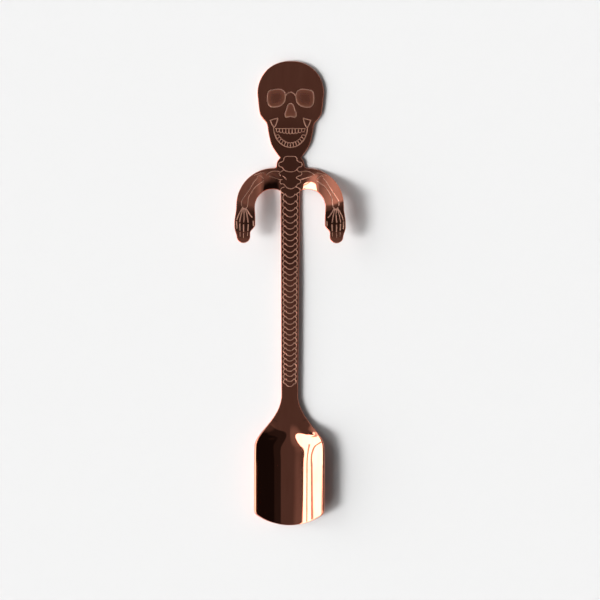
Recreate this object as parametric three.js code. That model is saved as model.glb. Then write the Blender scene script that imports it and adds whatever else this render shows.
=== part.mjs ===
// A stirring spoon that hangs on the rim of a mug, stamped from one strip of stainless steel: a flat
// skull-shaped finial, a short neck, shoulders with two arms bent forward into hooks, a narrow shaft,
// and an open scoop. Each named zone of the stamping is a solid of its own. The zones meet face to
// face on plain planes, so together they are the one strip.
//
// Millimetres. The spoon lies on its back: +Y runs to the crown of the skull, +X to its right-hand
// side as seen from the front, +Z out of its face. The origin is on the resting plane, halfway along.
import * as THREE from "three";

// Overall sizes
const OVERALL_LENGTH = 153;
const ARM_SPAN = 36.3;
const SHEET = 1.2; // strip thickness, all but the scoop
const SCOOP_WALL = 0.9; // drawn thinner by the press

// Lengths along the spoon, from the crown down
const SKULL_LENGTH = 31.9;
const NECK_LENGTH = 3.4;
const SHOULDER_DEPTH = 7;
const FLARE_LENGTH = 16.4;
const SCOOP_LENGTH = 26.6;

// Skull outline
const SKULL_WIDTH = 21.9;
const CRANIUM_HEIGHT = 11; // crown down to the widest line
const CRANIUM_POWER = 2.15; // a little squarer than an ellipse
const CHEEK_WIDTH = 20.5;
const JAW_WIDTH = 15;
const NECK_TOP_WIDTH = 6.9;

// Neck, shoulders and shaft
const NECK_WIDTH = 9.2;
const YOKE_WIDTH = 11; // the arms start at its two sides
const SHAFT_TOP_WIDTH = 6.3;
const SHAFT_LOW_WIDTH = 5.5;
const SHAFT_ARCH = 0.6; // the shaft stands this far off the resting plane

// Arms and hands
const ARM_ARCH_POWER = 2.1; // outer edge of the arch, squarer than an ellipse
const WRIST_DROP = 13.2; // top of the shoulders down to the wrist
const WRIST_WIDTH = 6.1;
const WRIST_INSET = 0.6; // the hand stands out past the wrist by this much
const HAND_LENGTH = 11.8;
const HAND_WIDTH = 6.85;
const THUMB_STEP = 1.6; // the hand narrows by this much below the thumb
const TIP_TAPER = 0.8; // and by this much on its outer side
const HOOK_RISE = 6.6; // from the front of the shoulders to the front of the hands
const HOOK_BEND = 0.18; // share of the ramp taken by each of its two bends
const BEND_SWEEP = 0.04; // the bends sweep down the outer side of the arms, by this per mm squared
const BEND_SWEEP_START = 10; // from this far off the middle line
const LIFT_CLEARANCE = 0.15; // the ramp fades in across the shoulder from this far beside the shaft
const LIFT_WIDTH = 6.2; // over this width
const LIFT_BEND = 0.18; // share of that width taken by each of its two bends
const TIP_FLARE = 0.7; // finger tips turn forward

// Scoop
const SCOOP_WIDTH = 23.2;
const SCOOP_DEPTH = 5.1; // rim above the floor, at the lip
const SCOOP_POWER = 2.2; // section of the scoop: 2 is a parabola, more is flatter in the middle
const FLARE_POWER = 1.5; // section where the rim begins, nearer to a V
const POWER_CHANGE_START = 4.5; // below the start of the rim, where the one begins to turn into the other
const POWER_CHANGE_LENGTH = 8;
const LIP_RADIUS = 15.3;
const RIM_START = 7; // below the top of the flare, where the rim begins to rise
const RIM_EASE = 7; // over this length it leaves the flat strip
const RIM_LENGTH = 15.5; // and over this length it reaches its full height
const FLOOR_DROP_START = 0.5; // below the start of the rim, where the strip dips to the floor
const FLOOR_DROP_LENGTH = 9.8;

// Levels along Y
const CROWN_Y = OVERALL_LENGTH / 2;
const WIDEST_Y = CROWN_Y - CRANIUM_HEIGHT;
const NECK_TOP_Y = CROWN_Y - SKULL_LENGTH;
const SHOULDER_Y = NECK_TOP_Y - NECK_LENGTH;
const ARMPIT_Y = SHOULDER_Y - SHOULDER_DEPTH;
const WRIST_Y = SHOULDER_Y - WRIST_DROP;
const TIP_Y = WRIST_Y - HAND_LENGTH;
const LIP_Y = -OVERALL_LENGTH / 2;
const SCOOP_TOP_Y = LIP_Y + SCOOP_LENGTH;
const FLARE_TOP_Y = SCOOP_TOP_Y + FLARE_LENGTH;
const RIM_START_Y = FLARE_TOP_Y - RIM_START;
const FLOOR_DROP_Y = RIM_START_Y - FLOOR_DROP_START;

// Grid steps
const YOKE_COLUMNS = 16;
const ARM_COLUMNS = 10;
const ARM_ROWS = 18;
const HAND_ROWS = 16;
const SHAFT_ROWS = 20;
const SHAFT_COLUMNS = 4;
const SCOOP_COLUMNS = 28;
const FLARE_ROWS = 16;
const SCOOP_ROWS = 14;
const CURVE_STEPS = 14;

const copper = () => new THREE.MeshStandardMaterial({ color: 0xb87058, metalness: 1, roughness: 0.12 });
const { lerp, smoothstep } = THREE.MathUtils;

// ---- Solids from grids -------------------------------------------------------------------------

// A closed slab between two grids of points of equal size. Seen from the front, rows run down and
// columns run to the right, so the first grid faces forward and the second one backward.
function slab(front, back) {
  const rows = front.length;
  const columns = front[0].length;
  const points = [...front.flat(), ...back.flat()];
  const face = (side, row, column) => side * rows * columns + row * columns + column;
  const triangles = [];
  const quad = (a, b, c, d) => triangles.push(a, b, c, a, c, d);
  for (let row = 0; row < rows - 1; row++) {
    for (let column = 0; column < columns - 1; column++) {
      const [a, b] = [face(0, row, column), face(0, row + 1, column)];
      const [c, d] = [face(0, row + 1, column + 1), face(0, row, column + 1)];
      const behind = rows * columns;
      quad(a, b, c, d);
      quad(d + behind, c + behind, b + behind, a + behind);
    }
  }
  const wall = (row, column, toRow, toColumn) => {
    const [a, b] = [face(0, row, column), face(1, row, column)];
    quad(a, b, face(1, toRow, toColumn), face(0, toRow, toColumn));
  };
  for (let row = 0; row < rows - 1; row++) {
    wall(row, 0, row + 1, 0);
    wall(row + 1, columns - 1, row, columns - 1);
  }
  for (let column = 0; column < columns - 1; column++) {
    wall(0, column + 1, 0, column);
    wall(rows - 1, column, rows - 1, column + 1);
  }
  const geometry = new THREE.BufferGeometry().setFromPoints(points);
  geometry.setIndex(triangles);
  geometry.computeVertexNormals();
  return geometry;
}

// A grid of points: at(v, u) gives the point for v down the rows and u across the columns, 0 to 1.
function grid(rows, columns, at) {
  return Array.from({ length: rows + 1 }, (_, row) =>
    Array.from({ length: columns + 1 }, (_, column) => at(row / rows, column / columns)),
  );
}

function named(name, geometry) {
  const mesh = new THREE.Mesh(geometry, copper());
  mesh.name = name;
  return mesh;
}

// ---- Skull and neck: flat plates ---------------------------------------------------------------

// A flat plate with the right-hand outline given from top to bottom, mirrored for the left.
function flatPlate(outline) {
  const offAxis = outline.filter((p) => p.x > 0);
  const mirrored = offAxis.map((p) => new THREE.Vector2(-p.x, p.y)).reverse();
  const shape = new THREE.Shape([...outline, ...mirrored]);
  return new THREE.ExtrudeGeometry(shape, { depth: SHEET, bevelEnabled: false });
}

// Round cranium, straight cheek, a step in to the jaw, and a round chin that runs into the neck.
function skullOutline() {
  const half = SKULL_WIDTH / 2;
  const cranium = Array.from({ length: CURVE_STEPS }, (_, i) => {
    const turn = (Math.PI / 2) * (i / CURVE_STEPS);
    return new THREE.Vector2(
      half * Math.sin(turn) ** (2 / CRANIUM_POWER),
      WIDEST_Y + CRANIUM_HEIGHT * Math.cos(turn) ** (2 / CRANIUM_POWER),
    );
  });
  const [cheek, jaw] = [CHEEK_WIDTH / 2, JAW_WIDTH / 2];
  const at = (x, share) => new THREE.Vector2(x, lerp(WIDEST_Y, NECK_TOP_Y, share));
  const face = new THREE.SplineCurve([
    at(half, 0),
    at(cheek, 0.28),
    at(cheek - 1, 0.38),
    at(jaw + 0.3, 0.47),
    at(jaw - 0.25, 0.62),
    at(jaw - 1.25, 0.8),
    at(jaw - 3, 0.935),
    at(NECK_TOP_WIDTH / 2, 1),
  ]);
  return [...cranium, ...face.getPoints(2 * CURVE_STEPS)];
}

// The neck opens out from the chin in one rounded corner and runs straight to the shoulders.
function neckOutline() {
  const corner = new THREE.QuadraticBezierCurve(
    new THREE.Vector2(NECK_TOP_WIDTH / 2, NECK_TOP_Y),
    new THREE.Vector2(NECK_WIDTH / 2, lerp(NECK_TOP_Y, SHOULDER_Y, 0.3)),
    new THREE.Vector2(NECK_WIDTH / 2, lerp(NECK_TOP_Y, SHOULDER_Y, 0.7)),
  );
  return [...corner.getPoints(CURVE_STEPS / 2), new THREE.Vector2(NECK_WIDTH / 2, SHOULDER_Y)];
}

// ---- Shoulders, arms and hands: the hook ramp --------------------------------------------------

// Height along a ramp of unit length and height, with a rounded bend at each end.
function bentRamp(along, bend) {
  const s = THREE.MathUtils.clamp(along, 0, 1);
  if (s < bend) return s ** 2 / (2 * bend * (1 - bend));
  if (s > 1 - bend) return 1 - (1 - s) ** 2 / (2 * bend * (1 - bend));
  return (s - bend / 2) / (1 - bend);
}

// Front of the sheet. It ramps up down the arm, from the shoulder line to a little below the wrist,
// and turns forward at the finger tips. The ramp fades in across the shoulder, beside the shaft.
function hookHeight(x, y) {
  const rampEnd = WRIST_Y - HAND_LENGTH / 8;
  const sweep = BEND_SWEEP * Math.max(0, Math.abs(x) - BEND_SWEEP_START) ** 2;
  const rise = HOOK_RISE * bentRamp((SHOULDER_Y - y + sweep) / (SHOULDER_Y - rampEnd), HOOK_BEND);
  const flareTop = TIP_Y + HAND_LENGTH / 3;
  const flare = TIP_FLARE * (Math.max(0, flareTop - y) / (flareTop - TIP_Y)) ** 2;
  const liftStart = SHAFT_TOP_WIDTH / 2 + LIFT_CLEARANCE;
  return SHEET + (rise + flare) * bentRamp((Math.abs(x) - liftStart) / LIFT_WIDTH, LIFT_BEND);
}

// The same sheet seen from behind: straight down by the sheet's thickness, allowing for its slope.
function hookBack(x, y) {
  const step = 0.01;
  const slopeX = (hookHeight(x + step, y) - hookHeight(x - step, y)) / (2 * step);
  const slopeY = (hookHeight(x, y + step) - hookHeight(x, y - step)) / (2 * step);
  return hookHeight(x, y) - SHEET * Math.hypot(1, slopeX, slopeY);
}

function hookSlab(rows, columns, plan) {
  const surface = (height) => (v, u) => {
    const [x, y] = plan(v, u);
    return new THREE.Vector3(x, y, height(x, y));
  };
  return slab(grid(rows, columns, surface(hookHeight)), grid(rows, columns, surface(hookBack)));
}

const yokePlan = (v, u) => [lerp(-YOKE_WIDTH / 2, YOKE_WIDTH / 2, u), lerp(SHOULDER_Y, ARMPIT_Y, v)];

// Plan of an arm: an arch between an inner ellipse, from the armpit to the inside of the wrist, and
// a squarer outer curve, from the top of the shoulder to the outside of the wrist.
function armPlan(side) {
  const root = YOKE_WIDTH / 2;
  const outerWrist = ARM_SPAN / 2 - WRIST_INSET;
  const innerWrist = outerWrist - WRIST_WIDTH;
  return (v, u) => {
    const outward = side > 0 ? u : 1 - u;
    const turn = (Math.PI / 2) * v;
    const arc = (power, reach, drop) => [
      root + reach * Math.sin(turn) ** (2 / power),
      WRIST_Y + drop * Math.cos(turn) ** (2 / power),
    ];
    const inner = arc(2, innerWrist - root, ARMPIT_Y - WRIST_Y);
    const outer = arc(ARM_ARCH_POWER, outerWrist - root, WRIST_DROP);
    return [side * lerp(inner[0], outer[0], outward), lerp(inner[1], outer[1], outward)];
  };
}

// Plan of a hand: straight sides, a thumb that ends in a step, and round finger tips. The shares
// are of the hand's length, from the wrist to the tips.
function handPlan(side) {
  const outerWrist = ARM_SPAN / 2 - WRIST_INSET;
  const innerWrist = outerWrist - WRIST_WIDTH;
  const outerHand = ARM_SPAN / 2;
  const innerHand = outerHand - HAND_WIDTH;
  const tipMiddle = (innerHand + THUMB_STEP + outerHand - TIP_TAPER) / 2;
  const tipStart = 0.82;
  const bluntness = 0.97; // 1 would end the tips in a point
  return (v, u) => {
    const outward = side > 0 ? u : 1 - u;
    const y = lerp(WRIST_Y, TIP_Y, v);
    const thumb = smoothstep(v, 0.5, 0.72);
    const taper = smoothstep(v, 0.55, 0.85);
    const inner = lerp(innerWrist, innerHand, smoothstep(v, 0, 0.3)) + thumb * THUMB_STEP;
    const outer = lerp(outerWrist, outerHand, smoothstep(v, 0, 0.45)) - taper * TIP_TAPER;
    const intoTip = Math.max(0, (v - tipStart) / (1 - tipStart));
    const rounded = (edge) => lerp(tipMiddle, edge, Math.sqrt(1 - (bluntness * intoTip) ** 2));
    return [side * lerp(rounded(inner), rounded(outer), outward), y];
  };
}

// ---- Shaft, flare and scoop --------------------------------------------------------------------

// Front of the strip along the middle line: flat at the shoulders, gently arched along the shaft,
// and down again to the floor of the scoop.
const floorDrop = (y) => smoothstep(FLOOR_DROP_Y - y, 0, FLOOR_DROP_LENGTH);

function middleHeight(y) {
  const rise = smoothstep(ARMPIT_Y - y, 0, (ARMPIT_Y - FLARE_TOP_Y) / 2);
  return lerp(SHEET + SHAFT_ARCH * rise, SCOOP_WALL, floorDrop(y));
}

const middleThickness = (y) => lerp(SHEET, SCOOP_WALL, floorDrop(y));

// Rim of the scoop above its floor: it rises along the flare and levels off in the scoop.
function rimRise(y) {
  const t = THREE.MathUtils.clamp((RIM_START_Y - y) / RIM_LENGTH, 0, 1);
  return SCOOP_DEPTH * (1 - (1 - t) ** 2) * smoothstep(RIM_START_Y - y, 0, RIM_EASE);
}

// Section at one level, 0 on the middle line and 1 at the rim.
function wallShare(s, y) {
  const change = smoothstep(RIM_START_Y - POWER_CHANGE_START - y, 0, POWER_CHANGE_LENGTH);
  return Math.abs(s) ** lerp(FLARE_POWER, SCOOP_POWER, change);
}

// A cross-section of the strip at one level, as a front point and a back point for each column. The
// back is a thickness away, square to the front curve and in the same plane.
// Columns crowd towards the two edges, where the wall curves most.
function section(y, halfWidth, columns, yAt = () => y) {
  const crowding = 1.35;
  const share = (column) => {
    const u = -1 + (2 * column) / columns;
    return Math.sign(u) * (1 - (1 - Math.abs(u)) ** crowding);
  };
  const height = (s, level) => middleHeight(level) + rimRise(level) * wallShare(s, level);
  const front = [];
  const back = [];
  for (let column = 0; column <= columns; column++) {
    const s = share(column);
    const level = yAt(s * halfWidth);
    const step = 1e-3;
    const low = Math.max(-1, s - step);
    const high = Math.min(1, s + step);
    const slope = (height(high, level) - height(low, level)) / ((high - low) * halfWidth);
    const across = middleThickness(level) / Math.hypot(1, slope);
    front.push(new THREE.Vector3(s * halfWidth, level, height(s, level)));
    back.push(new THREE.Vector3(s * halfWidth + slope * across, level, height(s, level) - across));
  }
  return { front, back };
}

function sectionSlab(sections) {
  return slab(sections.map((s) => s.front), sections.map((s) => s.back));
}

function shaftGeometry() {
  const halfWidth = (v) => lerp(SHAFT_TOP_WIDTH, SHAFT_LOW_WIDTH, v) / 2;
  const rows = Array.from({ length: SHAFT_ROWS + 1 }, (_, row) => row / SHAFT_ROWS);
  return sectionSlab(rows.map((v) => section(lerp(ARMPIT_Y, FLARE_TOP_Y, v), halfWidth(v), SHAFT_COLUMNS)));
}

// Half the width of the inner face where the scoop is full size. The wall's thickness is taken off,
// as far as it lies across the scoop at the slope of the rim.
const rimSlope = (SCOOP_POWER * SCOOP_DEPTH) / (SCOOP_WIDTH / 2 - SCOOP_WALL);
const innerHalfWidth = SCOOP_WIDTH / 2 - (SCOOP_WALL * rimSlope) / Math.hypot(1, rimSlope);

// The flare widens from the shaft to the scoop along one smooth curve.
function flareGeometry() {
  const narrow = SHAFT_LOW_WIDTH / 2;
  const wide = innerHalfWidth;
  const curve = new THREE.CubicBezierCurve(
    new THREE.Vector2(narrow, FLARE_TOP_Y),
    new THREE.Vector2(narrow, FLARE_TOP_Y - 0.45 * FLARE_LENGTH),
    new THREE.Vector2(wide, SCOOP_TOP_Y + 0.25 * FLARE_LENGTH),
    new THREE.Vector2(wide, SCOOP_TOP_Y),
  );
  return sectionSlab(curve.getPoints(FLARE_ROWS).map((p) => section(p.y, p.x, SCOOP_COLUMNS)));
}

// The scoop runs straight and ends in a lip cut to an arc.
function scoopGeometry() {
  const lip = (x) => LIP_Y + LIP_RADIUS - Math.sqrt(LIP_RADIUS ** 2 - x ** 2);
  const rows = Array.from({ length: SCOOP_ROWS + 1 }, (_, row) => row / SCOOP_ROWS);
  return sectionSlab(
    rows.map((v) => section(SCOOP_TOP_Y, innerHalfWidth, SCOOP_COLUMNS, (x) => lerp(SCOOP_TOP_Y, lip(x), v))),
  );
}

// ---- The spoon ---------------------------------------------------------------------------------

const spoon = new THREE.Group();
spoon.add(named("skull_plate", flatPlate(skullOutline())));
spoon.add(named("neck_plate", flatPlate(neckOutline())));
spoon.add(named("shoulder_yoke", hookSlab(ARM_COLUMNS, YOKE_COLUMNS, yokePlan)));
for (const [name, side] of [["right", 1], ["left", -1]]) {
  spoon.add(named(`${name}_arm`, hookSlab(ARM_ROWS, ARM_COLUMNS, armPlan(side))));
  spoon.add(named(`${name}_hand`, hookSlab(HAND_ROWS, ARM_COLUMNS, handPlan(side))));
}
spoon.add(named("shaft", shaftGeometry()));
spoon.add(named("scoop_flare", flareGeometry()));
spoon.add(named("scoop", scoopGeometry()));

export default spoon;
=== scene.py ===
import math

import bpy
import numpy as np
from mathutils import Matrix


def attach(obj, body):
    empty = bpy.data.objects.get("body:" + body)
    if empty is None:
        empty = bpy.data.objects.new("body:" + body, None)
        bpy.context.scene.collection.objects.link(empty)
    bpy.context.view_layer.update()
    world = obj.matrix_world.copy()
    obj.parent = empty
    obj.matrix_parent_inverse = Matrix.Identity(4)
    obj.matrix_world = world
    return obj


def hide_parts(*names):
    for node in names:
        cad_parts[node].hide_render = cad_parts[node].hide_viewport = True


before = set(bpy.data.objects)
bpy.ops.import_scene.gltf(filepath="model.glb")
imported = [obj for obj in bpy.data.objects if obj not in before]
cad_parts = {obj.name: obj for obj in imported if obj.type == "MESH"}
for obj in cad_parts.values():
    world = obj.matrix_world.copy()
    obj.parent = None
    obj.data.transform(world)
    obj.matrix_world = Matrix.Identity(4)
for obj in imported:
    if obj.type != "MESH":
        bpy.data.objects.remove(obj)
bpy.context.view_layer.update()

# ---- Skull -------------------------------------------------------------------------------------
# The flat finial of a hanging mug spoon, blanked from 1.2 mm stainless strip and plated in copper.
# Its cut edges are tumbled round. Eye sockets, nose, cheeks and teeth are etched, so they are matt.
# Lengths are in millimetres, on the axes of the part: +Y to the crown and +Z out of the face.

MM = 0.001
SHEET = 1.2
RIM = 0.17  # width of the tumbled edge
RIM_STEPS = 7
CROWN_Y, WIDEST_Y, NECK_TOP_Y = 76.5, 65.5, 44.6
SKULL_HALF, NECK_TOP_HALF = 10.95, 3.45
CRANIUM_POWER = 2.15  # a little squarer than an ellipse
GROOVE_DEPTH, GROOVE_SIDE = 0.03, 0.1  # an etched line, and the slope on each side of it
ETCH_REACH = 0.5  # lines further off than this are not measured
EDGE_MATT = 0.5  # tumbling leaves the edge satin
TOUCHING = 1e-6


def smoothstep(x, low, high):
    """3t² − 2t³, where t is how far x has come from low to high, held between 0 and 1."""
    t = np.clip((x - low) / (high - low), 0, 1)
    return t * t * (3 - 2 * t)


def spline(points, closed=False, steps=7):
    """A Catmull-Rom curve through the points: each stretch is a cubic whose end tangents are half
    the chord between the points on either side."""
    p = np.asarray(points, float)
    if closed:
        p = np.vstack([p[-1], p, p[0], p[1]])
    else:
        p = np.vstack([2 * p[0] - p[1], p, 2 * p[-1] - p[-2]])
    t = (np.arange(steps) / steps)[:, None]
    a, b, c, d = (p[i : len(p) - 3 + i, None, :] for i in range(4))
    run = b + 0.5 * t * (c - a + t * (2 * a - 5 * b + 4 * c - d + t * (3 * (b - c) + d - a)))
    return np.vstack([run.reshape(-1, 2), p[-2]])


def arc(centre, radii, start, end, power=2.0, steps=24):
    """Part of a superellipse: centre + radii × (cos, sin) of the turn, each to the power 2/power."""
    turn = np.radians(np.linspace(start, end, steps + 1))
    c, s = np.cos(turn), np.sin(turn)
    x = centre[0] + radii[0] * np.sign(c) * np.abs(c) ** (2 / power)
    y = centre[1] + radii[1] * np.sign(s) * np.abs(s) ** (2 / power)
    return np.column_stack([x, y])


def mirrored(line):
    """The same line on the other side of the middle line."""
    return np.asarray(line, float) * (-1, 1)


def both(*lines):
    """Each line and its mirror image."""
    return [np.asarray(line, float) for line in lines] + [mirrored(line) for line in lines]


def nearest(x, y, lines, reach):
    """Distance of each point from the nearest of some polylines, up to reach, with the two parts of
    the unit vector away from it. The foot on a segment is the projection held between its ends."""
    shape, x, y = x.shape, x.ravel(), y.ravel()
    best = np.full(x.size, float(reach))
    away = np.zeros((2, x.size))
    for line in lines:
        for (x0, y0), (x1, y1) in zip(line[:-1], line[1:]):
            near = (x > min(x0, x1) - reach) & (x < max(x0, x1) + reach)
            near &= (y > min(y0, y1) - reach) & (y < max(y0, y1) + reach)
            near = np.flatnonzero(near)
            along = (x1 - x0, y1 - y0)
            length2 = max(along[0] ** 2 + along[1] ** 2, 1e-12)
            t = np.clip(((x[near] - x0) * along[0] + (y[near] - y0) * along[1]) / length2, 0, 1)
            ex, ey = x[near] - x0 - t * along[0], y[near] - y0 - t * along[1]
            distance = np.hypot(ex, ey)
            closer = distance < best[near]
            near, distance = near[closer], distance[closer]
            best[near] = distance
            away[:, near] = np.array([ex[closer], ey[closer]]) / np.maximum(distance, 1e-9)
    return best.reshape(shape), away.reshape((2,) + shape)


def inside(x, y, ring):
    """True inside a closed polyline, by counting the sides that a ray to the right crosses."""
    crossed = np.zeros(x.shape, bool)
    for (x0, y0), (x1, y1) in zip(ring, np.roll(ring, -1, 0)):
        if y0 != y1:
            crossed ^= ((y0 > y) != (y1 > y)) & (x < x0 + (y - y0) * (x1 - x0) / (y1 - y0))
    return crossed


def across(half, count):
    """Places across a strip, from −half to half: even steps on the flat and, on each tumbled edge,
    steps of equal turn, which lie RIM × (1 − cos turn) in from the edge."""
    half = np.asarray(half, float)[..., None]
    rim = np.minimum(RIM, half / 2)
    edge = 1 - np.cos(np.radians(np.linspace(0, 90, RIM_STEPS + 1)[:-1]))
    flat = np.linspace(-1, 1, count + 1) * (half - rim)
    return np.concatenate([edge * rim - half, flat, half - (edge * rim)[..., ::-1]], -1)


def etching(x, y, groups):
    """How far each point lies outside the nearest etched line, and the unit vector away from it.
    A group is half the width of its lines, and the lines."""
    outside, away = np.full(x.shape, ETCH_REACH), np.zeros((2,) + x.shape)
    for half, lines in groups:
        distance, vector = nearest(x, y, lines, ETCH_REACH + half)
        closer = distance - half < outside
        outside = np.where(closer, distance - half, outside)
        away = np.where(closer, vector, away)
    return outside, away


def unit(v):
    """Each vector over its own length."""
    return v / np.maximum(np.linalg.norm(v, axis=-1, keepdims=True), 1e-12)


def cells(grid):
    """Two triangles for each cell of a grid of point numbers."""
    a, b, c, d = grid[:-1, :-1], grid[1:, :-1], grid[1:, 1:], grid[:-1, 1:]
    return [(a, b, c), (a, c, d)]


def wall(front, back, start, end):
    """Two triangles for each step along one side, between the front's points and the back's."""
    return [(front[start], back[start], back[end]), (front[start], back[end], front[end])]


def closed_faces(front, back):
    """Triangles of a closed sheet from its two grids of point numbers, and True for those of its four
    walls. A triangle with a corner used twice, at a pole or a joined edge, is left out."""
    first, last = (slice(None, -1), slice(1, None))
    batches = [
        (False, cells(front)),
        (False, [triple[::-1] for triple in cells(back)]),
        (True, wall(front, back, (first, 0), (last, 0))),
        (True, wall(front, back, (last, -1), (first, -1))),
        (True, wall(front, back, (0, last), (0, first))),
        (True, wall(front, back, (-1, first), (-1, last))),
    ]
    faces, on_wall = [], []
    for is_wall, batch in batches:
        for triple in batch:
            triangles = np.stack([corner.ravel() for corner in triple], -1)
            faces.append(triangles)
            on_wall.append(np.full(len(triangles), is_wall))
    faces, on_wall = np.vstack(faces), np.concatenate(on_wall)
    whole = (faces != np.roll(faces, 1, 1)).all(1)
    return faces[whole], on_wall[whole]


def plated_sheet(name, front, through, normal, along, edge, etched=None, matt=None, poles=()):
    """A closed piece of sheet with a tumbled edge, on a grid of rows down and columns to the right.

    front is the front face, through the step from it to the back, normal the sheet's unit normal and
    along its two unit tangents. edge is (distance in from the cut edge, vector away from it). With
    cos turn = 1 − distance / RIM, both faces stand sin turn × through / 2 off the middle, so the edge
    is a half ellipse, and each normal leans out by cos turn × half the thickness / RIM. An etched
    line sinks the front by GROOVE_DEPTH. The faces are joined where they meet at the edge and walled
    off where the sheet runs on into the next piece. A row in poles shrinks to one point. The mesh
    carries two attributes: the distance outside an etched line, and how matt the surface is, which
    also rises on the tumbled edge as a smooth step of cos turn."""
    rows, columns = edge[0].shape
    cos = np.clip(1 - edge[0] / RIM, 0, 1)[..., None]
    sin = np.sqrt(1 - cos**2)
    lean = cos * np.linalg.norm(through, axis=-1, keepdims=True) / (2 * RIM)
    outward = -sum(edge[1][i][..., None] * along[i] for i in range(2))
    front_normal = normal * sin + outward * lean
    back_normal = outward * lean - normal * sin
    middle = front + through / 2
    top, bottom = middle - through / 2 * sin, middle + through / 2 * sin
    plain = np.full(edge[0].shape, ETCH_REACH)
    outside = plain
    if etched is not None:
        outside, away = etched
        sunk = np.clip(0.5 - outside / GROOVE_SIDE, 0, 1)[..., None]
        top = top - normal * GROOVE_DEPTH * sunk * sin
        on_side = (sunk > 0) & (sunk < 1)
        slope = on_side * sin * GROOVE_DEPTH / GROOVE_SIDE
        front_normal = front_normal - slope * sum(away[i][..., None] * along[i] for i in range(2))
    satin = EDGE_MATT * smoothstep(cos[..., 0], 0.1, 0.5)
    matt = satin if matt is None else np.maximum(matt, satin)

    index = np.arange(rows * columns).reshape(rows, columns)
    for row in poles:
        index[row] = index[row, 0]
    joined = edge[0] < TOUCHING
    behind = np.where(joined, index, index + rows * columns)
    faces, on_wall = closed_faces(index, behind)

    points = np.vstack([top.reshape(-1, 3), bottom.reshape(-1, 3)])
    normals = unit(np.vstack([front_normal.reshape(-1, 3), back_normal.reshape(-1, 3)]))
    a, b, c = (points[faces[:, i]] for i in range(3))
    flat = unit(np.cross(b - a, c - a))
    corner = np.where(on_wall[:, None, None], flat[:, None], normals[faces])
    used, faces = np.unique(faces, return_inverse=True)
    faces = faces.reshape(-1, 3)

    mesh = bpy.data.meshes.new(name)
    mesh.vertices.add(len(used))
    mesh.loops.add(faces.size)
    mesh.polygons.add(len(faces))
    mesh.vertices.foreach_set("co", (points[used] * MM).ravel())
    mesh.loops.foreach_set("vertex_index", faces.astype(np.int32).ravel())
    mesh.polygons.foreach_set("loop_start", np.arange(len(faces), dtype=np.int32) * 3)
    mesh.update(calc_edges=True)
    for title, face, back in (("etched", outside, plain), ("matt", matt, satin)):
        values = np.concatenate([face.ravel(), back.ravel()])[used]
        mesh.attributes.new(title, "FLOAT", "POINT").data.foreach_set("value", values)
    mesh.polygons.foreach_set("use_smooth", np.ones(len(faces), bool))
    mesh.normals_split_custom_set(corner.reshape(-1, 3))
    mesh.materials.append(plating)
    piece = bpy.data.objects.new(name, mesh)
    bpy.context.scene.collection.objects.link(piece)
    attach(piece, "root")
    return piece


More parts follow.
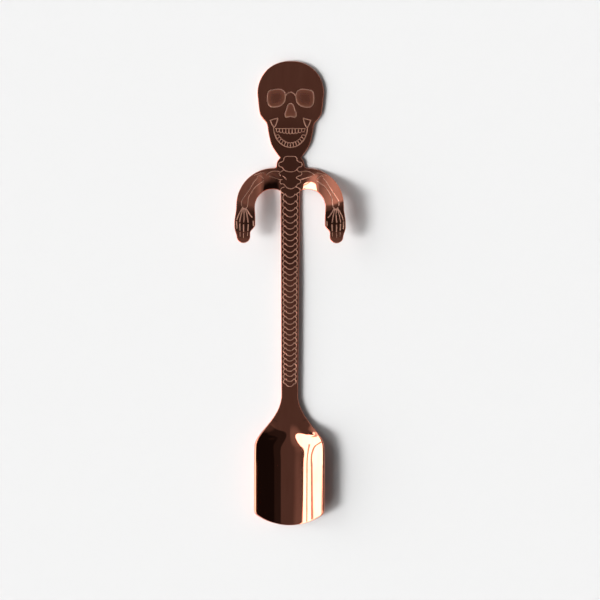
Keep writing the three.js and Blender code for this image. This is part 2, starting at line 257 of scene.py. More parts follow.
def plating_material():
    """Bright copper plate with haze in its colour and polish, and fine wipe marks along the spoon. The
    etched lines are paler and rough. The sockets, the nose and the tumbled edges are satin."""
    material = bpy.data.materials.new("copper_plate")
    material.use_nodes = True
    tree = material.node_tree
    shader = tree.nodes["Principled BSDF"]
    shader.inputs["Metallic"].default_value = 1.0

    def node(kind, **values):
        """A new node with its settings."""
        made = tree.nodes.new(kind)
        for key, value in values.items():
            setattr(made, key, value)
        return made

    def join(source, target):
        """A link from an output to an input."""
        tree.links.new(source, target)

    place = node("ShaderNodeTexCoord").outputs["Object"]

    def streaks(scale, detail):
        """Noise with its own scale per metre along each axis."""
        stretch = node("ShaderNodeMapping")
        stretch.inputs["Scale"].default_value = scale
        join(place, stretch.inputs["Vector"])
        noise = node("ShaderNodeTexNoise")
        noise.inputs["Scale"].default_value = 1.0
        noise.inputs["Detail"].default_value = detail
        join(stretch.outputs["Vector"], noise.inputs["Vector"])
        return noise

    haze = streaks((560.0, 110.0, 300.0), 6.0)
    wiped = streaks((5200.0, 260.0, 900.0), 3.0)
    grit = streaks((9000.0, 9000.0, 9000.0), 2.0)

    side = GROOVE_SIDE / 2
    groove = node("ShaderNodeMapRange", interpolation_type="SMOOTHSTEP")
    for key, value in (("From Min", -side), ("From Max", side), ("To Min", 1.0), ("To Max", 0.0)):
        groove.inputs[key].default_value = value
    join(node("ShaderNodeAttribute", attribute_name="etched").outputs["Fac"], groove.inputs["Value"])
    line = groove.outputs["Result"]
    floor_matt = node("ShaderNodeAttribute", attribute_name="matt").outputs["Fac"]
    matt = node("ShaderNodeMath", operation="MAXIMUM")
    join(line, matt.inputs[0])
    join(floor_matt, matt.inputs[1])

    bright = node("ShaderNodeMix", data_type="RGBA")
    bright.inputs["A"].default_value = (0.95, 0.355, 0.235, 1)
    bright.inputs["B"].default_value = (0.75, 0.25, 0.155, 1)
    join(haze.outputs["Fac"], bright.inputs["Factor"])
    colour = node("ShaderNodeMix", data_type="RGBA")
    colour.inputs["B"].default_value = (0.84, 0.46, 0.34, 1)
    join(line, colour.inputs["Factor"])
    join(bright.outputs["Result"], colour.inputs["A"])
    join(colour.outputs["Result"], shader.inputs["Base Color"])

    smooth = node("ShaderNodeMath", operation="MULTIPLY_ADD")
    join(haze.outputs["Fac"], smooth.inputs[0])
    smooth.inputs[1].default_value = 0.06
    smooth.inputs[2].default_value = 0.03
    rough = node("ShaderNodeMix", data_type="FLOAT")
    rough.inputs["B"].default_value = 0.5
    join(matt.outputs["Value"], rough.inputs["Factor"])
    join(smooth.outputs["Value"], rough.inputs["A"])
    join(rough.outputs["Result"], shader.inputs["Roughness"])

    relief = node("ShaderNodeMix", data_type="FLOAT")
    join(matt.outputs["Value"], relief.inputs["Factor"])
    join(wiped.outputs["Fac"], relief.inputs["A"])
    join(grit.outputs["Fac"], relief.inputs["B"])
    bump = node("ShaderNodeBump")
    bump.inputs["Strength"].default_value = 0.25
    bump.inputs["Distance"].default_value = 0.000004
    join(relief.outputs["Result"], bump.inputs["Height"])
    join(bump.outputs["Normal"], shader.inputs["Normal"])
    return material


plating = plating_material()

face_points = [
    (SKULL_HALF, 0), (10.25, 0.28), (9.25, 0.38), (7.8, 0.47), (7.25, 0.62), (6.25, 0.8), (4.5, 0.935),
    (NECK_TOP_HALF, 1),
]  # half-widths, at shares of the way down the face
face = spline([(x, WIDEST_Y + share * (NECK_TOP_Y - WIDEST_Y)) for x, share in face_points])
cranium = arc((0, WIDEST_Y), (SKULL_HALF, CROWN_Y - WIDEST_Y), 90, 0, power=CRANIUM_POWER, steps=90)
outline = [np.vstack([cranium, face])]

socket = spline(
    [(1.75, 64.9), (2.3, 66.5), (3.7, 67.15), (5.5, 67.0), (7.2, 66.4), (7.65, 64.5), (7.45, 62.5),
     (6.6, 61.4), (5.0, 61.3), (3.3, 61.75), (2.1, 62.95)], closed=True)
brow = spline([(-1.65, 64.95), (-0.95, 65.8), (0, 66.2), (0.95, 65.8), (1.65, 64.95)])
half_nose = spline(
    [(0, 62.5), (0.55, 62.25), (1.0, 61.6), (1.3, 60.5), (1.8, 59.0), (1.6, 58.0), (0.8, 58.05),
     (0, 58.25)])
nose = np.vstack([half_nose, mirrored(half_nose)[::-1]])
cheek = spline([(4.2, 57.6), (4.6, 56.0), (5.35, 54.6), (6.1, 55.5), (6.65, 56.9)])
cheek_top = spline([(4.2, 57.6), (5.4, 57.3), (6.65, 56.9)])

JAW_Y, GUM_Y, GUM_HALF = 54.6, 54.2, 4.9
TOOTH_PITCH, TEETH, LOWER_TEETH = 1.04, 9, 12
TOOTH_TURN = 130 / LOWER_TEETH  # degrees of the jaw taken by each lower tooth
jaw = arc((0, JAW_Y), (5.55, 6.6), 180, 360, steps=40)
gum = [(-GUM_HALF, GUM_Y), (GUM_HALF, GUM_Y)]
upper_teeth = []
for i in range(TEETH):
    middle = (i - (TEETH - 1) / 2) * TOOTH_PITCH
    drop = 1.75 - 0.05 * abs(middle) ** 1.8
    upper_teeth.append(arc((middle, GUM_Y), (TOOTH_PITCH / 2, drop), 180, 360, power=3.2, steps=10))
lower_teeth = []
for i in range(LOWER_TEETH):
    start = 205 + i * TOOTH_TURN
    (x0, y0), (x3, y3) = arc((0, JAW_Y), (5.5, 6.5), start, start + TOOTH_TURN, steps=1)
    (x1, y1), (x2, y2) = arc((0, JAW_Y - 0.3), (4.45, 4.9), start + 1, start + TOOTH_TURN - 1, steps=1)
    lower_teeth.append(spline([(x0, y0), (x1, y1), (x2, y2), (x3, y3)], steps=4))
collar = spline(
    [(0, 45.05), (1.4, 45.0), (2.05, 44.55), (2.2, 43.75), (2.8, 43.2), (3.55, 43.0), (3.85, 42.4),
     (3.6, 41.7), (2.85, 41.5), (2.35, 41.0), (1.75, 40.35), (0.8, 40.02), (0, 39.97)])
face_lines = both(socket, cheek, cheek_top) + [brow, nose, jaw]
teeth_lines = [gum] + upper_teeth + lower_teeth
etched_groups = [(0.15, face_lines), (0.105, teeth_lines), (0.12, both(collar))]


def flat_frame(shape):
    """Normal and tangents of a level sheet."""
    return [np.broadcast_to(v, shape + (3,)).astype(float) for v in ((0, 0, 1), (1, 0, 0), (0, 1, 0))]


def level_plate(name, x, y, matt=None, poles=()):
    """A flat plate on the floor, from its plan grid."""
    front = np.stack([x, y, np.full(x.shape, SHEET)], -1)
    normal, *along = flat_frame(x.shape)
    edge = nearest(x, y, both(*outline), 2 * RIM)
    etched = etching(x, y, etched_groups)
    return plated_sheet(name, front, -SHEET * normal, normal, along, edge, etched, matt, poles)


CRANIUM_ROWS, FACE_ROWS, SKULL_COUNT = 75, 136, 140
SOCKET_MATT, SOCKET_FADE, NOSE_MATT = 0.58, 0.2, 0.55


def skull_rows():
    """Levels down the skull: equal turns round the cranium, then even steps down the face."""
    turn = np.linspace(0, 1, CRANIUM_ROWS)
    top = WIDEST_Y + (CROWN_Y - WIDEST_Y) * np.cos(turn * math.pi / 2) ** (2 / CRANIUM_POWER)
    return np.concatenate([top, np.linspace(WIDEST_Y, NECK_TOP_Y, FACE_ROWS)[1:]])


rows = skull_rows()
side_line = outline[0]
half = np.interp(-rows, -side_line[:, 1], side_line[:, 0])
half[0] = 0
x = across(half, SKULL_COUNT)
y = np.broadcast_to(rows[:, None], x.shape)
in_socket = inside(np.abs(x), y, socket)
socket_depth = nearest(np.abs(x), y, [socket], 3.0)[0]
in_nose = inside(x, y, nose)
matt = in_socket * (SOCKET_MATT - SOCKET_FADE * smoothstep(socket_depth, 0.2, 2.4)) + in_nose * NOSE_MATT
skull = level_plate("skull", x, y, matt, poles=(0,))
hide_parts("skull_plate")

# ---- Neck --------------------------------------------------------------------------------------
# The same strip carried down from the chin, still flat, opening into the shoulders with a filled
# corner. The top of an etched spine starts on it: a collar-shaped vertebra, then a chain of cups.

SHOULDER_Y, ARMPIT_Y, YOKE_HALF = 41.2, 34.2, 5.5
NECK_HALF = 4.6
STRIP_COUNT, NECK_ROWS = 56, 34
FILLET = 0.9

# The side of the neck is a quadratic curve: from the chin, pulled to the bend, down to the fillet.
chin = np.array((NECK_TOP_HALF, NECK_TOP_Y))
bend = np.array((NECK_HALF, NECK_TOP_Y + (SHOULDER_Y - NECK_TOP_Y) * 0.3))
fillet_top = np.array((NECK_HALF, NECK_TOP_Y + (SHOULDER_Y - NECK_TOP_Y) * 0.7))
t = np.linspace(0, 1, 16)[:, None]
opening = (1 - t) ** 2 * chin + 2 * t * (1 - t) * bend + t**2 * fillet_top
shoulder_corner = arc((YOKE_HALF, SHOULDER_Y + FILLET), (FILLET, FILLET), 180, 270, steps=14)
outline.append(np.vstack([opening, shoulder_corner]))

second_right = spline(
    [(2.2, 40.6), (2.75, 40.0), (3.5, 39.95), (3.8, 39.4), (3.5, 38.85), (2.55, 38.5), (2.0, 38.1),
     (2.3, 37.7), (3.1, 37.35), (3.4, 36.75), (3.1, 36.15), (2.4, 35.85), (2.05, 35.3), (1.4, 34.8),
     (0.5, 34.4), (-0.4, 34.42), (-1.25, 34.85), (-1.85, 35.6), (-2.4, 36.0), (-3.0, 36.0),
     (-3.35, 36.5), (-3.3, 37.2), (-2.65, 37.4)])
second_left = spline([(-2.2, 40.6), (-3.0, 40.0), (-3.6, 39.6), (-3.5, 39.05), (-3.2, 38.6)])
slash = spline([(-2.45, 38.55), (-1.85, 38.0), (-1.3, 37.4)])
third = both(spline([(1.9, 35.0), (2.85, 34.6), (3.2, 33.95), (3.0, 33.2), (2.45, 33.0), (1.95, 32.5)]))


def cup_y(n):
    """Level of the bottom of cup n of the spine: the pitch shrinks from 2.7 mm to 1.65 mm."""
    return 34.3 - 1.985 * n + 0.0049 * n**2 - 1.5 * (1 - math.exp(-n / 1.5))


CUPS = 36
spine = [second_right, second_left, slash] + third
for n in range(1, CUPS):
    down = n / (CUPS - 1)
    pinch, lobe = 1.55 - 0.35 * down, 2.5 - 0.4 * down
    rise = 1.05 - 0.3 * down
    bottom = cup_y(n)
    spine.append(arc((0, bottom + rise), (pinch, rise), 180, 360, power=1.8, steps=12))
    if n < CUPS - 1:
        step = bottom - cup_y(n + 1)
        lobe_middle = (pinch, bottom + rise - step / 2)
        spine += both(arc(lobe_middle, (lobe - pinch, step / 2), 90, -90, steps=8))
    else:
        spine += both(spline([(pinch, bottom + rise), (lobe, bottom + 1.3), (lobe - 0.15, bottom + 1.9)]))
etched_groups.append((0.13, spine))

rows = np.linspace(NECK_TOP_Y, SHOULDER_Y, NECK_ROWS)
side_line = outline[1]
half = np.interp(-rows, -side_line[:, 1], side_line[:, 0])
x = across(half, STRIP_COUNT)
y = np.broadcast_to(rows[:, None], x.shape)
neck = level_plate("neck", x, y)
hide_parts("neck_plate")

# ---- Shoulders ---------------------------------------------------------------------------------
# The middle of the stamping, where the two arms start. It lies flat along the spine and already
# lifts at its sides, because the press bends the arms forward. Collar bones are etched across it.

HOOK_RISE, WRIST_Y, HAND_LENGTH = 6.6, 28.0, 11.8
TIP_Y = WRIST_Y - HAND_LENGTH
BEND = 0.18  # share of a ramp taken by each of its two bends
BEND_SWEEP, BEND_SWEEP_START = 0.04, 10
LIFT_START, LIFT_WIDTH = 3.3, 6.2  # the ramp fades in beside the shaft
TIP_FLARE = 0.7
ARM_COUNT = 40


def bent_ramp(along, bend):
    """Height along a ramp of unit length and height: a parabola in each end bend, straight between."""
    s = np.clip(along, 0, 1)
    run = np.where(s < bend, s**2 / (2 * bend * (1 - bend)), (s - bend / 2) / (1 - bend))
    return np.where(s > 1 - bend, 1 - (1 - s) ** 2 / (2 * bend * (1 - bend)), run)


def hook_height(x, y):
    """Front of the bent sheet: the thickness, plus a ramp down the arms and a flare at the finger
    tips, both faded in sideways by a second ramp. The bends sweep down the outer side of the arms
    as a parabola."""
    drop = SHOULDER_Y - y + BEND_SWEEP * np.maximum(0, np.abs(x) - BEND_SWEEP_START) ** 2
    rise = HOOK_RISE * bent_ramp(drop / (SHOULDER_Y - WRIST_Y + HAND_LENGTH / 8), BEND)
    flare_top = TIP_Y + HAND_LENGTH / 3
    flare = TIP_FLARE * (np.maximum(0, flare_top - y) / (flare_top - TIP_Y)) ** 2
    return SHEET + (rise + flare) * bent_ramp((np.abs(x) - LIFT_START) / LIFT_WIDTH, BEND)


def bent_sheet(name, x, y, height, side=1, poles=()):
    """A piece of sheet that follows height(x, y), from its plan grid. The back lies straight below
    the front, by the thickness over the cosine of the slope. side −1 makes its mirror image."""
    step = 0.002
    slope_x = (height(x + step, y) - height(x - step, y)) / (2 * step)
    slope_y = (height(x, y + step) - height(x, y - step)) / (2 * step)
    one, none = np.ones(x.shape), np.zeros(x.shape)
    front = np.stack([x, y, height(x, y)], -1)
    through = np.stack([none, none, -SHEET * np.sqrt(1 + slope_x**2 + slope_y**2)], -1)
    normal = unit(np.stack([-slope_x, -slope_y, one], -1))
    along = [unit(np.stack([one, none, slope_x], -1)), unit(np.stack([none, one, slope_y], -1))]
    edge = nearest(x, y, both(*outline), 2 * RIM)
    etched = etching(x, y, etched_groups)
    if side < 0:
        flip = np.array((-1.0, 1.0, 1.0))
        front, through, normal, *along = (v[:, ::-1] * flip for v in (front, through, normal, *along))
        edge, etched = ([v[..., ::-1] for v in pair] for pair in (edge, etched))
    return plated_sheet(name, front, through, normal, along, edge, etched, poles=poles)


SHAFT_TOP_HALF, SHAFT_LOW_HALF, FLARE_TOP_Y = 3.15, 2.75, -33.5
FILLET_Y = ARMPIT_Y - FILLET
armpit_corner = arc((YOKE_HALF, FILLET_Y), (YOKE_HALF - SHAFT_TOP_HALF, FILLET), 90, 180, steps=18)
clavicles = both(
    spline([(3.7, 40.05), (5.6, 40.15), (7.2, 39.5), (7.9, 38.9)]),
    spline([(3.2, 37.3), (4.6, 37.75), (6.3, 38.25), (7.0, 38.5)]),
)
etched_groups.append((0.12, clavicles))

OUTER_WRIST, INNER_WRIST = 17.55, 11.45
ARM_ARCH_POWER = 2.1
HAND_OUTER, HAND_INNER = 18.15, 11.3
THUMB_STEP, TIP_TAPER = 1.6, 0.8
TIP_START = 0.82  # share of the hand where the round of the tips begins


def arm_edges(v):
    """Inner and outer edge of an arm, for v from the shoulder to the wrist: a quarter of an ellipse,
    and outside it a quarter of a superellipse."""
    turn = v * math.pi / 2
    reach_in, reach_out = INNER_WRIST - YOKE_HALF, OUTER_WRIST - YOKE_HALF
    inner = YOKE_HALF + reach_in * np.sin(turn), WRIST_Y + (ARMPIT_Y - WRIST_Y) * np.cos(turn)
    outer = (
        YOKE_HALF + reach_out * np.sin(turn) ** (2 / ARM_ARCH_POWER),
        WRIST_Y + (SHOULDER_Y - WRIST_Y) * np.abs(np.cos(turn)) ** (2 / ARM_ARCH_POWER),
    )
    return inner, outer


def hand_edges(v):
    """Inner and outer edge of a hand, for v from the wrist to the tips. The thumb stands out on the
    inner side and ends in a step. Past TIP_START both edges close on the middle along an ellipse."""
    widen_in, widen_out = HAND_INNER - INNER_WRIST, HAND_OUTER - OUTER_WRIST
    inner = INNER_WRIST + widen_in * smoothstep(v, 0, 0.3) + THUMB_STEP * smoothstep(v, 0.5, 0.72)
    outer = OUTER_WRIST + widen_out * smoothstep(v, 0, 0.45) - TIP_TAPER * smoothstep(v, 0.55, 0.85)
    tip = (HAND_INNER + THUMB_STEP + HAND_OUTER - TIP_TAPER) / 2
    closing = np.sqrt(np.clip(1 - (np.maximum(0, v - TIP_START) / (1 - TIP_START)) ** 2, 0, 1))
    y = WRIST_Y - HAND_LENGTH * v
    return (tip + (inner - tip) * closing, y), (tip + (outer - tip) * closing, y)


def hand_rows():
    """Shares down the hand: even steps, then equal turns round the tips."""
    round_tips = TIP_START + (1 - TIP_START) * np.sin(np.linspace(0, math.pi / 2, 40))
    return np.concatenate([np.linspace(0, TIP_START, 70), round_tips[1:]])


arm_inner, arm_outer = (np.column_stack(e) for e in arm_edges(np.linspace(0, 1, 60)))
hand_inner, hand_outer = (np.column_stack(e) for e in hand_edges(hand_rows()))
shaft_half = np.linspace(SHAFT_TOP_HALF, SHAFT_LOW_HALF, 24)
shaft_side = np.column_stack([shaft_half, np.linspace(FILLET_Y, FLARE_TOP_Y, 24)])
outline += [arm_outer, np.vstack([hand_outer, hand_inner[::-1]]), arm_inner, armpit_corner, shaft_side]

y = (SHOULDER_Y + ARMPIT_Y) / 2 - across((SHOULDER_Y - ARMPIT_Y) / 2, ARM_COUNT)
x = across(YOKE_HALF, STRIP_COUNT)
y, x = np.meshgrid(y, x, indexing="ij")
shoulders = bent_sheet("shoulders", x, y, hook_height)
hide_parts("shoulder_yoke")

# ---- Arms --------------------------------------------------------------------------------------
# Two curved arms of the same strip, bent forward into the hook that sits over a mug's rim. The bend
# is pressed, so the sheet keeps its thickness. Upper-arm and forearm bones are etched on them.

forearm = [
    spline([(8.7, 36.9), (9.8, 36.1), (11.5, 34.7), (12.9, 32.5), (13.6, 31.0), (13.75, 29.3), (13.9, 28.1)]),
    spline([(10.85, 37.8), (12.0, 36.3), (13.3, 33.9), (14.65, 31.8), (15.75, 29.9), (15.75, 28.4)]),
]
shoulder_marks = [
    spline([(8.7, 39.6), (10.0, 39.5), (11.2, 39.0), (11.9, 38.7)]),
    spline([(8.8, 37.6), (9.6, 38.3), (10.3, 38.7), (10.9, 38.2)]),
]
etched_groups += [(0.13, both(*forearm)), (0.1, both(*shoulder_marks))]

ARM_ROWS = 130
v = np.linspace(0, 1, ARM_ROWS)
(inner_x, inner_y), (outer_x, outer_y) = arm_edges(v)
width = np.hypot(outer_x - inner_x, outer_y - inner_y)
share = across(width / 2, ARM_COUNT) / width[:, None] + 0.5
x = inner_x[:, None] + share * (outer_x - inner_x)[:, None]
y = inner_y[:, None] + share * (outer_y - inner_y)[:, None]
for name, side in (("right_arm", 1), ("left_arm", -1)):
    arm = bent_sheet(name + "_bones", x, y, hook_height, side)
    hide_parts(name)

# ---- Hands -------------------------------------------------------------------------------------
# Flat hands at the ends of the arms, standing forward of the spoon, with round finger tips that
# turn up a little. Wrist, hand and finger bones are etched on them as separate strokes.

hand_bones = [
    spline([(15.75, 28.4), (15.35, 27.6), (14.9, 27.3), (14.4, 27.5), (13.9, 28.1)]),
    spline([(14.25, 27.4), (13.2, 25.6), (12.35, 24.6)]),
    spline([(14.55, 27.4), (14.0, 25.2), (13.65, 23.0)]),
    spline([(15.0, 27.4), (14.95, 25.2), (15.1, 23.0)]),
    spline([(15.35, 27.4), (16.0, 25.2), (16.4, 23.1)]),
    spline([(15.65, 27.4), (16.7, 25.4), (17.3, 23.8)]),
]
finger_bones = [
    [(13.6, 22.2), (13.7, 20.3)], [(15.1, 22.1), (15.1, 20.0)], [(16.35, 22.4), (16.3, 20.4)],
    [(17.4, 23.2), (17.3, 21.0)], [(12.0, 23.3), (11.95, 21.9)],
]
tip_bones = [[(13.75, 19.7), (13.8, 18.6)], [(15.1, 19.4), (15.1, 18.0)], [(16.25, 19.8), (16.2, 18.4)]]
etched_groups += [(0.16, both(*hand_bones)), (0.19, both(*finger_bones)), (0.1, both(*tip_bones))]

v = hand_rows()
(inner_x, y), (outer_x, _) = hand_edges(v)
half = (outer_x - inner_x) / 2
half[-1] = 0
x = (outer_x + inner_x)[:, None] / 2 + across(half, ARM_COUNT)
y = np.broadcast_to(y[:, None], x.shape)
for name, side in (("right_hand", 1), ("left_hand", -1)):
    hand = bent_sheet(name + "_bones", x, y, hook_height, side, poles=(-1,))
    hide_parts(name)

# ---- Shaft -------------------------------------------------------------------------------------
# The long narrow strip between the arms and the scoop, gently arched so that only its ends touch
# the table. The spine runs down it as a chain of etched cups and ends short of the scoop.

SCOOP_WALL, SCOOP_TOP_Y, LIP_Y = 0.9, -49.9, -76.5
RIM_START_Y, FLOOR_DROP_Y = -40.5, -41.0
FLOOR_DROP_LENGTH, SHAFT_ARCH, SHAFT_ROWS = 9.8, 0.6, 500


def floor_drop(y):
    """0 on the shaft and 1 on the floor of the scoop."""
    return smoothstep(FLOOR_DROP_Y - y, 0, FLOOR_DROP_LENGTH)


def middle_height(y):
    """Front of the strip on its middle line."""
    arched = SHEET + SHAFT_ARCH * smoothstep(ARMPIT_Y - y, 0, (ARMPIT_Y - FLARE_TOP_Y) / 2)
    return arched + (SCOOP_WALL - arched) * floor_drop(y)


def shaft_height(x, y):
    """The middle line's height, plus what is left of the arms' ramp beside the top of the shaft."""
    return middle_height(y) + hook_height(x, y) - SHEET


below_fillet = np.linspace(FILLET_Y, FLARE_TOP_Y, SHAFT_ROWS)
rows = np.concatenate([np.linspace(ARMPIT_Y, FILLET_Y, 14), below_fillet[1:]])
side_line = np.vstack([shaft_side[::-1], armpit_corner[-2::-1]])
half = np.interp(rows, side_line[:, 1], side_line[:, 0])
x = across(half, STRIP_COUNT)
y = np.broadcast_to(rows[:, None], x.shape)
shaft = bent_sheet("stem", x, y, shaft_height)
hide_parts("shaft")

# ---- Scoop -------------------------------------------------------------------------------------
# The strip widens into an open scoop, drawn thinner by the press. Its section curves all the way
# from a nearly flat floor to steep walls. The rim climbs along the flare and is level from there to
# the lip, which is cut to an arc. It is left plain and polished bright.

INNER_HALF, SCOOP_DEPTH = 10.95, 5.1
LIP_RADIUS, CORNER_RADIUS = 15.3, 1.0
RIM_LENGTH, RIM_EASE = 15.5, 7
FLARE_POWER, SCOOP_POWER = 1.5, 2.2  # section: 1 is a V, 2 a parabola
POWER_CHANGE_START, POWER_CHANGE_LENGTH = 4.5, 8
FLARE_ROWS, SCOOP_ROWS = 84, 110


def rim_rise(y):
    """Height of the rim above the floor: a parabola that climbs along the flare and is level in the
    scoop, faded in over RIM_EASE."""
    t = np.clip((RIM_START_Y - y) / RIM_LENGTH, 0, 1)
    return SCOOP_DEPTH * (1 - (1 - t) ** 2) * smoothstep(RIM_START_Y - y, 0, RIM_EASE)


# The flare's side is a cubic curve that leaves the shaft and meets the scoop parallel to the middle.
t = np.linspace(0, 1, 200)
bezier = [(1 - t) ** 3, 3 * t * (1 - t) ** 2, 3 * t**2 * (1 - t), t**3]
flare_length = FLARE_TOP_Y - SCOOP_TOP_Y
pull_top, pull_low = FLARE_TOP_Y - 0.45 * flare_length, SCOOP_TOP_Y + 0.25 * flare_length
flare_x = sum(b * x for b, x in zip(bezier, (SHAFT_LOW_HALF, SHAFT_LOW_HALF, INNER_HALF, INNER_HALF)))
flare_y = sum(b * y for b, y in zip(bezier, (FLARE_TOP_Y, pull_top, pull_low, SCOOP_TOP_Y)))


def half_width(y):
    """Half the width of the inner face: the shaft's, then the flare's curve, then the scoop's."""
    up_shaft = (y - FLARE_TOP_Y) / (ARMPIT_Y - FLARE_TOP_Y)
    shaft_part = SHAFT_LOW_HALF + (SHAFT_TOP_HALF - SHAFT_LOW_HALF) * up_shaft
    return np.where(y > FLARE_TOP_Y, shaft_part, np.interp(-y, -flare_y, flare_x))


def trough(s, y):
    """Front face at share s of the half-width and level y. The wall climbs as s to a power, which
    changes smoothly from the flare's to the scoop's."""
    change = smoothstep(RIM_START_Y - POWER_CHANGE_START - y, 0, POWER_CHANGE_LENGTH)
    power = FLARE_POWER + (SCOOP_POWER - FLARE_POWER) * change
    return np.stack([s * half_width(y), y, middle_height(y) + rim_rise(y) * np.abs(s) ** power], -1)


def girth(s, y):
    """Distance along the section from the middle line to share s, as a sum of 200 chords."""
    part = np.linspace(0, 1, 201)[:, None, None] * s[None]
    run = trough(part, np.broadcast_to(y, part.shape))
    return np.sign(s) * np.linalg.norm(np.diff(run[..., ::2], axis=0), axis=-1).sum(0)


def scoop_sheet(name, s, y, poles=()):
    """A piece of the trough from its grid of shares and levels. The back is a wall's thickness away,
    square to the section. Distances from the cut edge are measured on the sheet laid out flat."""
    step = 1e-3
    down_y = trough(s, y + step) - trough(s, y - step)
    across_s = trough(s + step, y) - trough(s - step, y)
    normal = unit(np.cross(across_s, down_y))
    tangent = unit(across_s * (1, 0, 1))
    along = [tangent, unit(np.cross(normal, tangent))]
    square = np.stack([tangent[..., 2], np.zeros(s.shape), -tangent[..., 0]], -1)
    thickness = SHEET + (SCOOP_WALL - SHEET) * floor_drop(y)
    edge = nearest(girth(s, y), y, [sheet_edge, mirrored(sheet_edge)], 2 * RIM)
    return plated_sheet(name, trough(s, y), square * thickness[..., None], normal, along, edge)


rim_girth = girth(np.ones((1, 1)), np.full((1, 1), LIP_Y))[0, 0]


def lip(s):
    """Level of the lip: an arc across the scoop, with its two corners rounded off."""
    x = s * INNER_HALF
    inset = np.abs(rim_girth - np.abs(girth(s, np.full(s.shape, LIP_Y))))
    into_corner = np.clip(CORNER_RADIUS - inset, 0, CORNER_RADIUS)
    corner = CORNER_RADIUS - np.sqrt(CORNER_RADIUS**2 - into_corner**2)
    return LIP_Y + LIP_RADIUS - np.sqrt(LIP_RADIUS**2 - x**2) + corner


def shares(count):
    """Shares across the scoop: even steps along the section, with extra ones on the tumbled edges
    and in the corners of the lip."""
    even = np.linspace(0, 1, 400)[None]
    run = girth(even, np.full(even.shape, LIP_Y))[0]
    places = across(rim_girth, count)
    return np.sign(places) * np.interp(np.abs(places), run, even[0])


SCOOP_COUNT = 110
s_row = shares(SCOOP_COUNT)
lip_y = lip(s_row[None])[0]
side_y = np.concatenate([np.linspace(-30, SCOOP_TOP_Y, 120), np.linspace(SCOOP_TOP_Y, lip_y[-1], 60)[1:]])
side_girth = girth(np.ones((1, len(side_y))), side_y[None])[0]
lip_girth = girth(s_row[None], lip_y[None])[0]
middle = len(s_row) // 2

# The cut edge with the sheet laid out flat: down the side, back along the lip, and a little past the
# middle line so that it overlaps its mirror image.
side_edge, lip_edge = np.column_stack([side_girth, side_y]), np.column_stack([lip_girth, lip_y])
sheet_edge = np.vstack([side_edge, lip_edge[:middle:-1], (-0.2, LIP_Y)])

s, y = np.meshgrid(s_row, np.linspace(FLARE_TOP_Y, SCOOP_TOP_Y, FLARE_ROWS))
flare = scoop_sheet("flare", s, y)
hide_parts("scoop_flare")

edge_steps = RIM * (1 - np.cos(np.radians(np.linspace(90, 0, RIM_STEPS + 1))))
down = np.linspace(0, 1, SCOOP_ROWS)[:, None]
y = SCOOP_TOP_Y + down * (lip_y + RIM - SCOOP_TOP_Y)
y = np.vstack([y, lip_y + edge_steps[1:, None]])
s = np.broadcast_to(s_row, y.shape)
scoop = scoop_sheet("bowl", s, y)
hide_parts("scoop")

# ---- Table, light and camera -------------------------------------------------------------------
# A plain pale table, and a soft lamp low on the left for the shadows, which the plate doesn't mirror.
# The room that it mirrors is invented: a tall bright window on the left with one glazing bar and a
# dark ring, grey reflectors round the back and sides, and an almost black ceiling.

TABLE_REACH, TABLE_GAP = 6.0, 0.00002
table = bpy.data.meshes.new("table")
corners = [(-1, -1, 0), (1, -1, 0), (1, 1, 0), (-1, 1, 0)]
table.from_pydata([(x * TABLE_REACH, y * TABLE_REACH, z) for x, y, z in corners], [], [(0, 1, 2, 3)])
floor = bpy.data.objects.new("table", table)
floor.location.z = -TABLE_GAP
bpy.context.scene.collection.objects.link(floor)
paper = bpy.data.materials.new("pale_table")
paper.use_nodes = True
paper_shader = paper.node_tree.nodes["Principled BSDF"]
paper_shader.inputs["Base Color"].default_value = (0.68, 0.68, 0.68, 1)
paper_shader.inputs["Roughness"].default_value = 0.9
paper_shader.inputs["Specular IOR Level"].default_value = 0.1
table.materials.append(paper)


def direction(azimuth, elevation):
    """Unit vector towards a compass turn from +X and a height above the horizon, in degrees."""
    a, e = math.radians(azimuth), math.radians(elevation)
    return (math.cos(a) * math.cos(e), math.sin(a) * math.cos(e), math.sin(e))


LAMP_ABOVE, LAMP_TURN = 41, 199  # degrees above the table, and round from +X
lamp_data = bpy.data.lights.new("soft_lamp", "SUN")
lamp_data.angle = math.radians(17)
lamp_data.energy = 2.7
lamp = bpy.data.objects.new("soft_lamp", lamp_data)
lamp.rotation_euler = (0, math.radians(90 - LAMP_ABOVE), math.radians(LAMP_TURN))
bpy.context.scene.collection.objects.link(lamp)
lamp.visible_glossy = False

world = bpy.data.worlds.new("room")
world.use_nodes = True
bpy.context.scene.world = world
nodes, links = world.node_tree.nodes, world.node_tree.links
ray = nodes.new("ShaderNodeTexCoord").outputs["Generated"]


def between(value, start, end):
    """0 at start and 1 at end, smooth between them."""
    fade = nodes.new("ShaderNodeMapRange")
    fade.interpolation_type = "SMOOTHSTEP"
    fade.inputs["From Min"].default_value = start
    fade.inputs["From Max"].default_value = end
    links.new(value, fade.inputs["Value"])
    return fade.outputs["Result"]


def patch(toward, inner, outer):
    """A soft-edged round patch: 1 within inner degrees of a direction, 0 beyond outer."""
    turn = nodes.new("ShaderNodeVectorMath")
    turn.operation = "DOT_PRODUCT"
    links.new(ray, turn.inputs[0])
    turn.inputs[1].default_value = toward
    return between(turn.outputs["Value"], math.cos(math.radians(outer)), math.cos(math.radians(inner)))


def calculate(operation, a, b):
    """A sum on two values, each a number or another node's output."""
    step = nodes.new("ShaderNodeMath")
    step.operation = operation
    for value, port in zip((a, b), step.inputs):
        if isinstance(value, (int, float)):
            port.default_value = value
        else:
            links.new(value, port)
    return step.outputs["Value"]


def without(value, mask, share):
    """value, less a share of it where the mask is 1."""
    return calculate("MULTIPLY", value, calculate("SUBTRACT", 1.0, calculate("MULTIPLY", mask, share)))


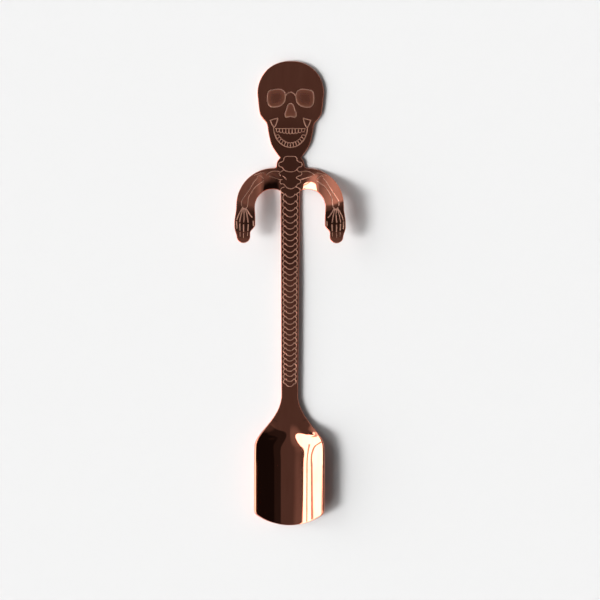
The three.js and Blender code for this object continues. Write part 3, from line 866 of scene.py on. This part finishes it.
parts = nodes.new("ShaderNodeSeparateXYZ")
links.new(ray, parts.inputs[0])
y_part, z_part = parts.outputs["Y"], parts.outputs["Z"]

# The window, joined from three patches and cut off towards the back, with its bar and ring.
window = calculate("MULTIPLY", patch(direction(200, 12), 37.5, 39), between(y_part, 0.36, 0.30))
for side_patch in (patch(direction(215, 40), 18, 19.5), patch(direction(155, 20), 22, 26)):
    window = calculate("MAXIMUM", window, side_patch)
bar = calculate("MULTIPLY", between(z_part, 0.595, 0.61), between(z_part, 0.665, 0.65))
window = without(window, calculate("MULTIPLY", bar, between(y_part, -0.3, -0.2)), 0.8)
ring = without(patch(direction(176, 12), 19, 20), patch(direction(176, 12), 14, 16), 1.0)
window = without(window, ring, 0.85)
WINDOW_STRENGTH, DARKEST = 4.4, 0.008
light = calculate("MULTIPLY", window, WINDOW_STRENGTH)
for mask, strength in (
    (patch(direction(180, 80), 31, 34), 0.062),  # ceiling, towards the window
    (patch(direction(0, 90), 41, 44), 0.014),  # the rest of the ceiling
    (patch(direction(225, 58), 5, 22), 0.12),  # over the window
    (patch(direction(90, 25), 12, 42), 0.155),  # back reflector
    (patch(direction(125, 25), 10, 36), 0.42),  # back reflector, on the left
    (patch(direction(60, 52), 8, 26), 0.04),  # high on the right
    (patch(direction(-60, 18), 8, 34), 0.3),  # front reflector, on the right
    (between(z_part, 0.05, 0.0), 0.75),  # the table's surroundings, below the horizon
):
    light = calculate("ADD", light, calculate("MULTIPLY", mask, strength))
light = calculate("ADD", light, DARKEST)

# Dark spots right overhead: one that the hands mirror, with a hole in it for the top of the shaft,
# and a faint one that the neck mirrors.
overhead = patch(direction(0, 90), 3.6, 4.2)
spot = calculate("MULTIPLY", between(y_part, 0.036, 0.044), overhead)
light = without(light, without(spot, patch(direction(98, 87), 0.5, 0.9), 1.0), 0.85)
light = without(light, patch(direction(94, 84.7), 0.4, 2.2), 0.45)
links.new(light, nodes["Background"].inputs["Strength"])
nodes["Background"].inputs["Color"].default_value = (1, 1, 1, 1)

CAMERA_HEIGHT, VIEW_WIDTH, FILM_WIDTH = 0.5, 0.198, 36
CAMERA_OFFSET, CAMERA_ROLL = (0.00332, -0.00223), 0.003
camera_data = bpy.data.cameras.new("camera")
camera_data.lens = FILM_WIDTH * CAMERA_HEIGHT / VIEW_WIDTH
camera = bpy.data.objects.new("camera", camera_data)
camera.location = (*CAMERA_OFFSET, CAMERA_HEIGHT)
camera.rotation_euler = (0, 0, CAMERA_ROLL)
bpy.context.scene.collection.objects.link(camera)
bpy.context.scene.camera = camera
bpy.context.scene.view_settings.view_transform = "Standard"
